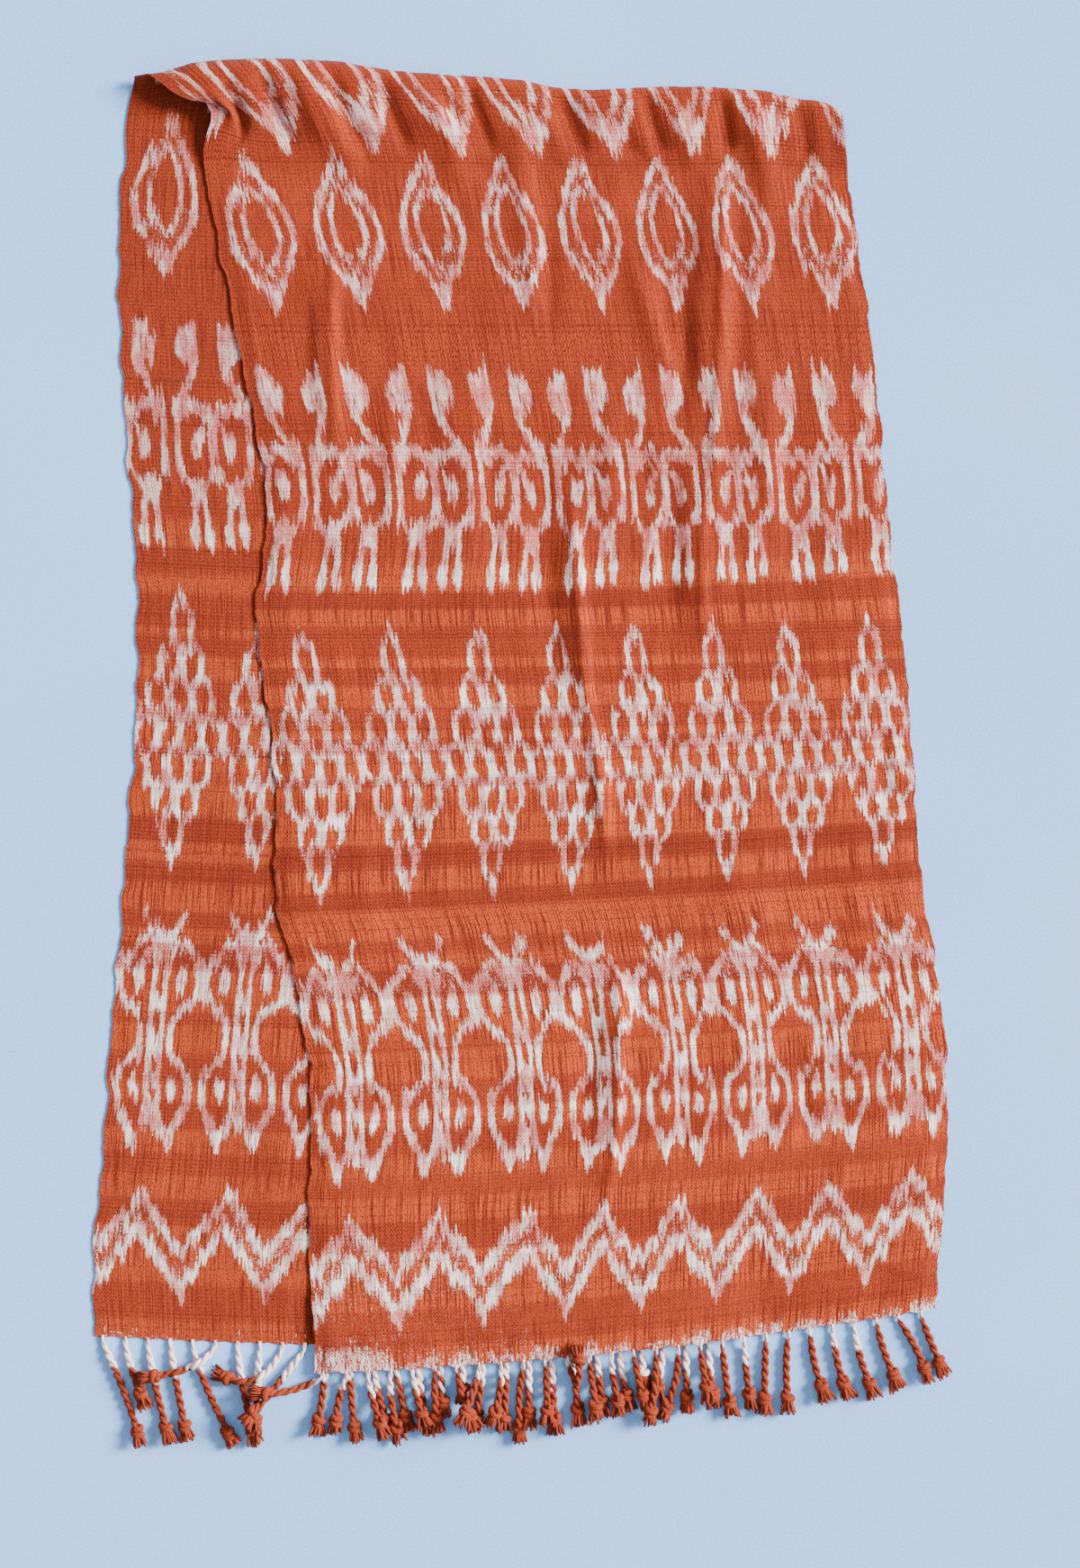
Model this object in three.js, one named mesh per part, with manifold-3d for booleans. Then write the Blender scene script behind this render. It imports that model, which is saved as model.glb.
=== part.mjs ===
// A handwoven wrap scarf, folded in half across its length and laid flat on a surface.
//
// The cloth is one long strip with a knotted fringe at each end. The under half lies face
// down, the cloth turns over in a soft roll, and the over half lies on the under half, swung a
// few degrees to one side, so that a strip of the under half shows along its left selvedge.
//
// Millimetres. +X runs across the cloth, +Y from the fringes to the fold, +Z up.
// The origin is the middle of the footprint, on the surface that the scarf lies on.

import * as THREE from "three";
import Module from "manifold-3d";

const wasm = await Module();
wasm.setup();

// ---------------------------------------------------------------- driving dimensions

const WIDTH = 456; // selvedge to selvedge, eight 57 mm repeats of the woven pattern
const HALF_LENGTH = 940; // hem to the middle of the cloth
const WALL = 1.4; // the cloth's thickness
const GAP = 0.3; // between pieces that touch
const FLAT_LENGTH = 870; // hem to the start of the roll, on each half
const UNDER_HEM_Y = -423.8; // the under hem at its left selvedge
const UNDER_BOW = 6.5; // how far the middle of an under weft lies below its ends
const HEM_STRIP = 3; // the strip of each hem that carries the fringe
const STRANDS = 28; // twisted strands to a fringe
const STRAND_RADIUS = 2.45;
const KNOT_RADIUS = 3.5;
const ROOT_RADIUS = 0.9;
const ROOT_PLACE = 0.35; // of a strand's root, across its own share of the hem

// ---------------------------------------------------------------- tables of the layout

const table = (names, rows) =>
  rows.map((row) => Object.fromEntries(names.split(" ").map((name, i) => [name, row[i]])));

// The left selvedge of the under half.
const UNDER_EDGE = table("from_hem x", [
  [0, -310],
  [60, -311],
  [130, -304],
  [210, -299],
  [300, -291],
  [370, -286],
  [450, -280],
  [560, -280],
  [650, -287],
  [760, -292.5],
  [830, -291],
  [870, -287],
]);

// Both ends of wefts of the over half. bow is how far a weft's middle lies below its ends.
const OVER_WEFTS = table("from_hem left_x left_y right_x right_y bow", [
  [0, -149, -450, 300, -404, 7],
  [60, -153, -388, 305, -347, 7],
  [108, -155, -336, 308, -302, 6],
  [135, -154, -313, 309, -278, 5],
  [215, -154, -234, 307, -204, 3],
  [313, -171, -136, 294, -115, 0],
  [336, -179, -112, 289, -86, 3],
  [430, -179, -19, 284, -5, 3],
  [545, -193, 95, 275, 101, 2],
  [569, -192, 113, 271, 125, 5],
  [640, -185, 183, 265, 184, 3],
  [741, -203, 281, 256, 281, 0],
  [761, -209, 313, 252, 313, 0],
  [870, -230, 417, 237, 415, 0],
]);

// The outline of the fold from above.
const FOLD_LINE = table("x y", [
  [-281, 489],
  [-262, 492],
  [-240, 498],
  [-215, 501],
  [-170, 501.5],
  [-133, 499.5],
  [-90, 493],
  [-40, 489.5],
  [0, 486.5],
  [25, 481],
  [60, 480],
  [100, 482],
  [140, 481.5],
  [178, 478.5],
  [200, 473.5],
  [220, 470.5],
  [236, 460],
]);

// The left selvedge past the fold, where it hangs over the under half and ruffles.
const RUFFLED_EDGE = table("past_fold x y z", [
  [0, -279, 489, 10],
  [8, -271, 490, 15],
  [17, -262, 484, 17],
  [28, -250, 475, 17],
  [38, -239, 470.5, 16],
  [46, -230, 469.5, 15],
  [52, -225.5, 464, 14],
  [60, -225, 457, 12],
  [69, -228.5, 447, 9],
  [79, -231, 435, 5],
  [90, -230, 417, 3.5],
]);

// Creases of the over half, each a curve from start to end drawn towards mid, with its height
// (below zero for a trough) and half-width.
const CREASES = table("start_x start_y mid_x mid_y end_x end_y height half_width", [
  [-142, 364, -146, 289, -139, 218, 4.5, 9],
  [141, 425, 142, 328, 134, 231, 6.5, 8],
  [127, 212, 124, 140, 127, 81, 5, 8],
  [32, 179, 36, 101, 46, 23, 5.5, 8],
  [46, 20, 55, -29, 57, -75, 3.5, 9],
  [63, -150, 74, -211, 62, -295, 4, 9],
  [78, 361, 96, 309, 112, 257, 3.5, 9],
  [160, 474, 175, 436, 188, 385, 4, 10],
  [-8, 462, 8, 393, 8, 328, 3.5, 11],
  [-75, 476, -48, 445, -42, 400, 3.5, 11],
  [-150, 480, -128, 448, -120, 405, 3.5, 11],
  [70, 458, 82, 425, 94, 392, -3, 9],
  [16, 440, 16, 410, 17, 375, -2.5, 9],
  [-226, 474, -209, 458, -228, 434, 5, 5],
  [-213, 477, -200, 456, -217, 432, -8, 6],
]);

// How each strand lies, from its root: the point that its bend is drawn towards, then its end.
// Those of the under fringe that the over half hides lie between the strands above them.
const UNDER_STRANDS = table("bend_x bend_y end_x end_y", [
  [16, -32, 29, -75],
  [4, -22, 16, -47],
  [6, -36, 17, -71],
  [5, -30, 13, -69],
  [8, -30, 31, -72],
  [-12, -20, -55, -21],
  [3, -30, 14, -70],
  [-2, -28, -3, -62],
  [-16, -36, -50, -16],
  [-22, -30, -44, -51],
  [-2, -30, -8, -62],
  [0, -30, 5, -66],
  [3, -30, 13, -60],
  [3, -30, 11, -58],
  [2, -30, 9, -62],
  [1, -24, 4, -48],
  [1, -20, 2, -38],
  [-2, -30, -7, -58],
  [0, -30, -2, -60],
  [0, -28, 0, -57],
  [1, -30, 3, -62],
  [1, -28, 4, -56],
  [2, -25, 6, -50],
  [3, -23, 8, -46],
  [1, -16, 3, -32],
  [-2, -20, -6, -42],
  [0, -25, 1, -50],
  [1, -24, 5, -47],
]);
const OVER_STRANDS = table("bend_x bend_y end_x end_y", [
  [-22, -14, -52, -9],
  [-8, -18, -8, -42],
  [2, -20, 13, -43],
  [-2, -22, 8, -49],
  [3, -20, 10, -39],
  [-1, -20, 3, -44],
  [4, -20, 14, -42],
  [-2, -14, -14, -40],
  [1, -20, -8, -42],
  [-5, -28, -2, -55],
  [2, -20, 1, -44],
  [12, -36, 7, 14],
  [2, -20, 6, -44],
  [1, -20, 7, -42],
  [3, -18, 10, -39],
  [1, -24, -6, -52],
  [2, -22, -12, -50],
  [3, -18, 6, -39],
  [3, -26, 7, -52],
  [2, -24, 5, -48],
  [-1, -27, -1, -54],
  [-3, -28, 1, -56],
  [2, -28, 13, -49],
  [3, -26, 12, -49],
  [3, -27, 16, -51],
  [6, -26, 17, -47],
  [14, -18, 22, -45],
  [9, -22, 17, -43],
]);

// ---------------------------------------------------------------- small helpers

const { lerp, smoothstep, clamp } = THREE.MathUtils;

// A smooth curve through a table's rows: the value of one column where another has value at.
function along(rows, key, column, at) {
  const last = rows.length - 1;
  const i = clamp(rows.findIndex((row) => row[key] > at) - 1, 0, last - 1);
  const k = at >= rows[last][key] ? last - 1 : i;
  const slope = (a, b) => (rows[b][column] - rows[a][column]) / (rows[b][key] - rows[a][key]);
  const span = rows[k + 1][key] - rows[k][key];
  const from = slope(Math.max(k - 1, 0), k + 1) * span;
  const to = slope(k, Math.min(k + 2, last)) * span;
  const t = (at - rows[k][key]) / span;
  const rise = rows[k + 1][column] - rows[k][column];
  if (t < 0) return rows[k][column] + from * t;
  if (t > 1) return rows[k + 1][column] + to * (t - 1);
  const bend = from * (1 - t) * (1 - t) * t - to * (1 - t) * t * t;
  return rows[k][column] + rise * t * t * (3 - 2 * t) + bend;
}

const bell = (x) => Math.exp(-x * x);
const sagging = (s) => 4 * s * (1 - s);

// ---------------------------------------------------------------- the cloth's surface
// s runs from 0 at the left selvedge to 1 at the right. Every point here is on the face that
// lies on the floor in the under half, and on top in the over half.

function underPoint(s, fromHem) {
  const x = along(UNDER_EDGE, "from_hem", "x", fromHem) + WIDTH * s;
  return new THREE.Vector3(x, UNDER_HEM_Y + fromHem - UNDER_BOW * sagging(s), 0);
}

const CREASE_CURVES = CREASES.map((c) => ({
  ...c,
  points: new THREE.QuadraticBezierCurve(
    new THREE.Vector2(c.start_x, c.start_y),
    new THREE.Vector2(c.mid_x, c.mid_y),
    new THREE.Vector2(c.end_x, c.end_y),
  ).getPoints(24),
}));

// The height that the creases add: each fades out towards its own ends.
function creased(x, y) {
  const here = new THREE.Vector2(x, y);
  return CREASE_CURVES.reduce((sum, c) => {
    const away = c.points.map((p) => p.distanceTo(here));
    const nearest = Math.min(...away);
    const t = away.indexOf(nearest) / (away.length - 1);
    const fade = smoothstep(t, -0.1, 0.3) * (1 - smoothstep(t, 0.7, 1.1));
    return sum + c.height * fade * bell(nearest / c.half_width);
  }, 0);
}

const RIGHT_DROP = 28; // past the under half's right selvedge, the over half comes down
const HEM_LIFT = 3.6; // over the under fringe, its hem rides up
const HEM_LIFT_LENGTH = 45;
const HEM_LIFT_END_X = 175;

// The top of the over half where it lies flat.
function restingHeight(x, y) {
  const fromUnderHem = y - UNDER_HEM_Y;
  const underRight = along(UNDER_EDGE, "from_hem", "x", clamp(fromUnderHem, 0, FLAT_LENGTH)) + WIDTH;
  const covered = 1 - smoothstep(x, underRight + 2, underRight + RIGHT_DROP);
  const nearHem = 1 - smoothstep(fromUnderHem, 0, HEM_LIFT_LENGTH);
  const overFringe = 1 - smoothstep(x, HEM_LIFT_END_X - 25, HEM_LIFT_END_X);
  return WALL + (WALL + GAP) * covered + HEM_LIFT * nearHem * overFringe;
}

function overPlan(s, fromHem) {
  const at = (column) => along(OVER_WEFTS, "from_hem", column, fromHem);
  return new THREE.Vector2(
    lerp(at("left_x"), at("right_x"), s),
    lerp(at("left_y"), at("right_y"), s) - at("bow") * sagging(s),
  );
}

function overPoint(s, fromHem) {
  const { x, y } = overPlan(s, fromHem);
  return new THREE.Vector3(x, y, restingHeight(x, y) + Math.max(0, creased(x, y)));
}

const CREST_AT_LEFT = 920; // the roll's crest, from the under hem
const CREST_AT_RIGHT = 950;
const LEFT_RADIUS = 9.5; // of the roll, which stands highest a little way in from the left
const RIGHT_RADIUS = 6;
const HIGHEST_AT = 0.2;
const LEFT_SHARE = 0.12; // how far the crest has come from the under half's line to the over's
const RIGHT_SHARE = 0.92;
const SHARE_BEND = 1.4;

const crestAt = (s) => lerp(CREST_AT_LEFT, CREST_AT_RIGHT, s);
const rollRadius = (s) => lerp(LEFT_RADIUS, RIGHT_RADIUS, s) + 1.5 * bell((s - HIGHEST_AT) / 0.15);

function crestPlan(s) {
  const under = underPoint(s, FLAT_LENGTH).x;
  const over = overPlan(s, FLAT_LENGTH).x;
  const x = lerp(under, over, lerp(LEFT_SHARE, RIGHT_SHARE, 1 - (1 - s) ** SHARE_BEND));
  return new THREE.Vector2(x, along(FOLD_LINE, "x", "y", x));
}

const RUFFLE_WIDTH = 30;
const RUFFLE_END = 90;

// Past the crest the cloth is carried over from the crest to the flat of one half: a quarter
// turn of the roll, then on to where that half lies flat.
function rollPoint(s, length) {
  const past = length - crestAt(s);
  const radius = rollRadius(s);
  const crest = crestPlan(s);
  const quarter = (radius * Math.PI) / 2;
  const flat = past > 0 ? overPoint(s, FLAT_LENGTH) : underPoint(s, FLAT_LENGTH);
  const whole = past > 0 ? 2 * HALF_LENGTH - FLAT_LENGTH - crestAt(s) : crestAt(s) - FLAT_LENGTH;
  const turn = Math.min(Math.abs(past), quarter) / radius;
  const beyond = clamp((Math.abs(past) - quarter) / (whole - quarter), 0, 1);
  const drop = radius * (1 - Math.cos(turn)) + (crest.y - flat.y - radius) * beyond;
  const share = clamp(drop / (crest.y - flat.y), 0, 1);
  const point = new THREE.Vector3(
    lerp(crest.x, flat.x, 1 - (1 - share) ** 1.7),
    crest.y - drop,
    radius * (1 + Math.sign(past) * Math.sin(turn)),
  );
  if (past <= 0) return point;
  const resting = restingHeight(point.x, point.y);
  point.z += (resting - 2 * radius) * smoothstep(beyond, 0, 1);
  point.z = Math.max(point.z + creased(point.x, point.y) * smoothstep(past, 0, quarter), resting);
  const at = (column) => along(RUFFLED_EDGE, "past_fold", column, past);
  const ruffled = new THREE.Vector3(at("x") + s * WIDTH, at("y"), Math.max(at("z"), resting));
  const ends = smoothstep(past, 0, 8) * (1 - smoothstep(past, RUFFLE_END - 20, RUFFLE_END));
  return point.lerp(ruffled, bell((s * WIDTH) / RUFFLE_WIDTH) * ends);
}

// Any point of the cloth, by its length from the under hem.
function clothPoint(s, length) {
  if (length <= FLAT_LENGTH) return underPoint(s, length);
  const fromOverHem = 2 * HALF_LENGTH - length;
  return fromOverHem <= FLAT_LENGTH ? overPoint(s, fromOverHem) : rollPoint(s, length);
}

// Which way the wall's thickness goes from that point: up from the floor, in towards the
// roll's axis, and down from the top.
function inwards(s, length) {
  const turn = clamp((length - crestAt(s)) / rollRadius(s), -Math.PI / 2, Math.PI / 2);
  return new THREE.Vector3(0, -Math.cos(turn), -Math.sin(turn));
}

// ---------------------------------------------------------------- solids

const steps = (from, to, count) => Array.from({ length: count + 1 }, (_, i) => lerp(from, to, i / count));

// A closed wall over a grid of places on the cloth.
function wall(across, lengths) {
  const positions = [];
  for (const inside of [0, WALL])
    for (const length of lengths)
      for (const s of across)
        positions.push(...clothPoint(s, length).addScaledVector(inwards(s, length), inside));
  const nx = across.length;
  const ny = lengths.length;
  const at = (i, j, layer) => (layer * ny + j) * nx + i;
  const index = [];
  const quad = (a, b, c, d) => index.push(a, b, c, a, c, d);
  for (let j = 0; j < ny - 1; j++)
    for (let i = 0; i < nx - 1; i++) {
      quad(at(i, j, 0), at(i, j + 1, 0), at(i + 1, j + 1, 0), at(i + 1, j, 0));
      quad(at(i, j, 1), at(i + 1, j, 1), at(i + 1, j + 1, 1), at(i, j + 1, 1));
    }
  for (let j = 0; j < ny - 1; j++) {
    quad(at(0, j, 1), at(0, j + 1, 1), at(0, j + 1, 0), at(0, j, 0));
    quad(at(nx - 1, j, 0), at(nx - 1, j + 1, 0), at(nx - 1, j + 1, 1), at(nx - 1, j, 1));
  }
  for (let i = 0; i < nx - 1; i++) {
    quad(at(i, 0, 0), at(i + 1, 0, 0), at(i + 1, 0, 1), at(i, 0, 1));
    quad(at(i, ny - 1, 1), at(i + 1, ny - 1, 1), at(i + 1, ny - 1, 0), at(i, ny - 1, 0));
  }
  return { positions, index };
}

function asGeometry({ positions, index }) {
  const geometry = new THREE.BufferGeometry();
  geometry.setAttribute("position", new THREE.Float32BufferAttribute(positions, 3));
  geometry.setIndex(index);
  return geometry;
}

const asSolid = ({ positions, index }) =>
  new wasm.Manifold(
    new wasm.Mesh({
      numProp: 3,
      vertProperties: new Float32Array(positions),
      triVerts: new Uint32Array(index),
    }),
  );

function solidGeometry(solid) {
  const mesh = solid.getMesh();
  return asGeometry({ positions: mesh.vertProperties, index: [...mesh.triVerts] });
}

// ---------------------------------------------------------------- the fringes

const SAMPLES = 44; // places along a strand where its height is worked out
const RINGS = 9; // of its solid
const FLOOR_CLEARANCE = 0.2;
const STRAND_CLEARANCE = 0.5; // between strands that cross
const HEM_CLEARANCE = 1; // under a strand that turns back over the hem
const STEEPEST = 0.5; // slope of a strand that comes down from another
const KNOT_FROM_END = 11;
const KNOT_LENGTH = 5.5;
const FLATS = 0.9; // half a section's width across its flats, in radii
const CORNERS = FLATS * Math.SQRT2;
const laid = []; // samples of the strands that are already down

// A strand's radius, from its length so far and the length still to come.
function strandRadius(soFar, toCome) {
  const body = lerp(ROOT_RADIUS, STRAND_RADIUS, smoothstep(soFar, 2, 18));
  const knot = (KNOT_RADIUS - STRAND_RADIUS) * bell((toCome - KNOT_FROM_END) / KNOT_LENGTH);
  const tuft = 0.7 * bell((toCome - 3) / 4);
  return body + knot + tuft;
}

// The centre line of a strand. It lies on the floor, and over what is already there.
function layStrand(root, row, hemHeight) {
  const curve = new THREE.QuadraticBezierCurve(
    new THREE.Vector2(root.x, root.y),
    new THREE.Vector2(root.x + row.bend_x, root.y + row.bend_y),
    new THREE.Vector2(root.x + row.end_x, root.y + row.end_y),
  );
  const length = curve.getLength();
  const samples = curve.getSpacedPoints(SAMPLES).map((p, i) => {
    const soFar = (length * i) / SAMPLES;
    return { x: p.x, y: p.y, soFar, radius: strandRadius(soFar, length - soFar) };
  });
  for (const a of samples) {
    a.least = FLATS * a.radius + FLOOR_CLEARANCE;
    for (const b of laid) {
      const apart = Math.hypot(a.x - b.x, a.y - b.y);
      const radii = a.radius + b.radius;
      const over = b.z + FLATS * radii + STRAND_CLEARANCE;
      if (apart < CORNERS * radii + STRAND_CLEARANCE) a.least = Math.max(a.least, over);
    }
    const backOverHem = a.y > root.y - 8 && a.soFar > length / 2;
    const overHem = hemHeight + FLATS * a.radius + HEM_CLEARANCE;
    if (backOverHem) a.least = Math.max(a.least, overHem);
  }
  samples[0].least = root.z;
  for (const a of samples) {
    const drapes = samples.map((b) => b.least - STEEPEST * Math.abs(a.soFar - b.soFar));
    a.z = Math.max(a.least, ...drapes);
  }
  samples[0].z = root.z;
  return samples;
}

// The closed four-sided tube of a strand.
function strandSolid(samples) {
  const rings = steps(0, SAMPLES, RINGS).map((i) => samples[Math.round(i)]);
  const positions = [];
  rings.forEach((ring, k) => {
    const before = rings[Math.max(k - 1, 0)];
    const after = rings[Math.min(k + 1, RINGS)];
    const heading = new THREE.Vector3(after.x - before.x, after.y - before.y, after.z - before.z);
    const side = new THREE.Vector3(heading.y, -heading.x, 0).normalize();
    const up = side.clone().cross(heading).normalize();
    for (const [a, b] of [[-1, -1], [1, -1], [1, 1], [-1, 1]])
      positions.push(
        ...new THREE.Vector3(ring.x, ring.y, ring.z)
          .addScaledVector(side, a * FLATS * ring.radius)
          .addScaledVector(up, b * FLATS * ring.radius),
      );
  });
  const index = [0, 1, 2, 0, 2, 3];
  for (let k = 0; k < RINGS; k++)
    for (let i = 0; i < 4; i++) {
      const a = 4 * k + i;
      const b = 4 * k + ((i + 1) % 4);
      index.push(a, a + 4, b + 4, a, b + 4, b);
    }
  const end = 4 * RINGS;
  index.push(end, end + 2, end + 1, end, end + 3, end + 2);
  return asSolid({ positions, index });
}

// A fringe: a strip parted from the hem, with its strands fused to it.
function fringe(hemLength, outwards, strands) {
  const near = hemLength + outwards * GAP;
  const far = near + outwards * HEM_STRIP;
  const strip = wall(steps(0, 1, 28), outwards > 0 ? [near, far] : [far, near]);
  const solids = [asSolid(strip)];
  strands.forEach((row, i) => {
    const s = (i + ROOT_PLACE) / STRANDS;
    const root = clothPoint(s, (near + far) / 2);
    const hemTop = clothPoint(s, hemLength - outwards * 20).z;
    root.z = Math.max(outwards > 0 ? root.z - WALL / 2 : 0, CORNERS * ROOT_RADIUS);
    const samples = layStrand(root, row, hemTop);
    laid.push(...samples.filter((a) => a.soFar > 1));
    solids.push(strandSolid(samples));
  });
  return solidGeometry(wasm.Manifold.union(solids));
}

// ---------------------------------------------------------------- the scarf

// Columns are closer where the creases and the ruffled selvedge are.
const crowded = (s) => s - 0.035 * Math.sin(2 * Math.PI * s) - 0.03 * Math.sin(6 * Math.PI * s);
const FINE_COLUMNS = steps(0, 1, 38).map((s) => clamp(crowded(s), 0, 1));
const ROLL_COLUMNS = [...steps(0, 0.15, 10), ...steps(0.19, 1, 19)];

const orange = (roughness) =>
  new THREE.MeshStandardMaterial({ color: 0xd9552b, roughness, metalness: 0 });

const scarf = new THREE.Group();

function add(name, geometry, material) {
  geometry.computeVertexNormals();
  const mesh = new THREE.Mesh(geometry, material);
  mesh.name = name;
  scarf.add(mesh);
}

const rollStart = FLAT_LENGTH + GAP;
const rollEnd = 2 * HALF_LENGTH - FLAT_LENGTH - GAP;
const rollLengths = [rollStart, ...steps(896, 962, 12), ...steps(972, rollEnd, 4)];

add("under_half", asGeometry(wall(steps(0, 1, 10), steps(0, FLAT_LENGTH, 20))), orange(0.8));
add("fold_roll", asGeometry(wall(ROLL_COLUMNS, rollLengths)), orange(0.8));
add(
  "over_half",
  asGeometry(wall(FINE_COLUMNS, steps(2 * HALF_LENGTH - FLAT_LENGTH, 2 * HALF_LENGTH, 28))),
  orange(0.8),
);
add("under_fringe", fringe(0, -1, UNDER_STRANDS), orange(0.9));
add("over_fringe", fringe(2 * HALF_LENGTH, 1, OVER_STRANDS), orange(0.9));

const footprint = new THREE.Box3().setFromObject(scarf);
const centre = footprint.getCenter(new THREE.Vector3());
scarf.position.set(-centre.x, -centre.y, 0);

export default scarf;
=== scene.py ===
"""A handwoven ikat wrap scarf, folded in half across its length and laid flat on a pale floor."""
import math

import bpy
import numpy as np
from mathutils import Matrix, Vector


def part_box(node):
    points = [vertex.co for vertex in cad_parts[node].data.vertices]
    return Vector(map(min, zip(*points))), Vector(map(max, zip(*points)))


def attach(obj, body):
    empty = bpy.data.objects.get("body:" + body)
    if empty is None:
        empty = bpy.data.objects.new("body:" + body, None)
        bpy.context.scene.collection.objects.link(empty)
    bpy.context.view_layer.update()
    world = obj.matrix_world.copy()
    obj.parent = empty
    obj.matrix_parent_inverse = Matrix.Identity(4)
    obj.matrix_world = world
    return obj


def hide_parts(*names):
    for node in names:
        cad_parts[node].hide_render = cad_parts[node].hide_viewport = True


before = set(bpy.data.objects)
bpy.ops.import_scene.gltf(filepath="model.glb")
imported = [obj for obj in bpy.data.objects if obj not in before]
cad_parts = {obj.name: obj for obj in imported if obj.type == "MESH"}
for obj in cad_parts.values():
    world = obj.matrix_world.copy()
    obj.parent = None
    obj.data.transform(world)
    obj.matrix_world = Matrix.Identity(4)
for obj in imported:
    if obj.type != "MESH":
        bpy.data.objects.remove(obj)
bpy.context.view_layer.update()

# Lengths are in millimetres, and become metres where a mesh, lamp or camera is made.
METRE = 1000

# -------------------- sizes of the scarf

WIDTH = 456  # selvedge to selvedge
HALF_LENGTH = 940  # hem to the middle of the cloth
WHOLE_LENGTH = 2 * HALF_LENGTH
WALL = 1.4  # the cloth's thickness
GAP = 0.3  # between the two halves where one lies on the other
FLAT_LENGTH = 870  # hem to the start of the roll, on each half
UNDER_HEM_Y = -423.8  # of the under hem's two ends
UNDER_BOW = 6.5  # how far the under hem's middle lies below its ends
STRANDS = 28  # in each fringe
ROOT_PLACE = 0.35  # of a strand's root, across its own share of the hem


def table(names, rows):
    """A table's columns by name, as arrays."""
    columns = zip(*rows)
    return {name: np.array(column, float) for name, column in zip(names.split(), columns)}


# The left selvedge of the under half.
UNDER_EDGE = table("from_hem x", [
    (0, -310), (60, -311), (130, -304), (210, -299), (300, -291), (370, -286), (450, -280),
    (560, -280), (650, -287), (760, -292.5), (830, -291), (870, -287),
])

# Both ends of wefts of the over half. bow is how far a weft's middle lies below its ends.
OVER_WEFTS = table("from_hem left_x left_y right_x right_y bow", [
    (0, -149, -450, 300, -404, 7),
    (60, -153, -388, 305, -347, 7),
    (108, -155, -336, 308, -302, 6),
    (135, -154, -313, 309, -278, 5),
    (215, -154, -234, 307, -204, 3),
    (313, -171, -136, 294, -115, 0),
    (336, -179, -112, 289, -86, 3),
    (430, -179, -19, 284, -5, 3),
    (545, -193, 95, 275, 101, 2),
    (569, -192, 113, 271, 125, 5),
    (640, -185, 183, 265, 184, 3),
    (741, -203, 281, 256, 281, 0),
    (761, -209, 313, 252, 313, 0),
    (870, -230, 417, 237, 415, 0),
])

# The crest of the fold, seen from above.
FOLD_LINE = table("x y", [
    (-281, 489), (-262, 492), (-240, 498), (-215, 501), (-170, 501.5), (-133, 499.5),
    (-90, 493), (-40, 489.5), (0, 486.5), (25, 481), (60, 480), (100, 482), (140, 481.5),
    (178, 478.5), (200, 473.5), (220, 470.5), (236, 460),
])

# The left selvedge past the fold, where it hangs over the under half and ruffles.
RUFFLED_EDGE = table("past_fold x y z", [
    (0, -279, 489, 10), (8, -271, 490, 15), (17, -262, 484, 17), (28, -250, 475, 17),
    (38, -239, 470.5, 16), (46, -230, 469.5, 15), (52, -225.5, 464, 14), (60, -225, 457, 12),
    (69, -228.5, 447, 9), (79, -231, 435, 5), (90, -230, 417, 3.5),
])

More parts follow.
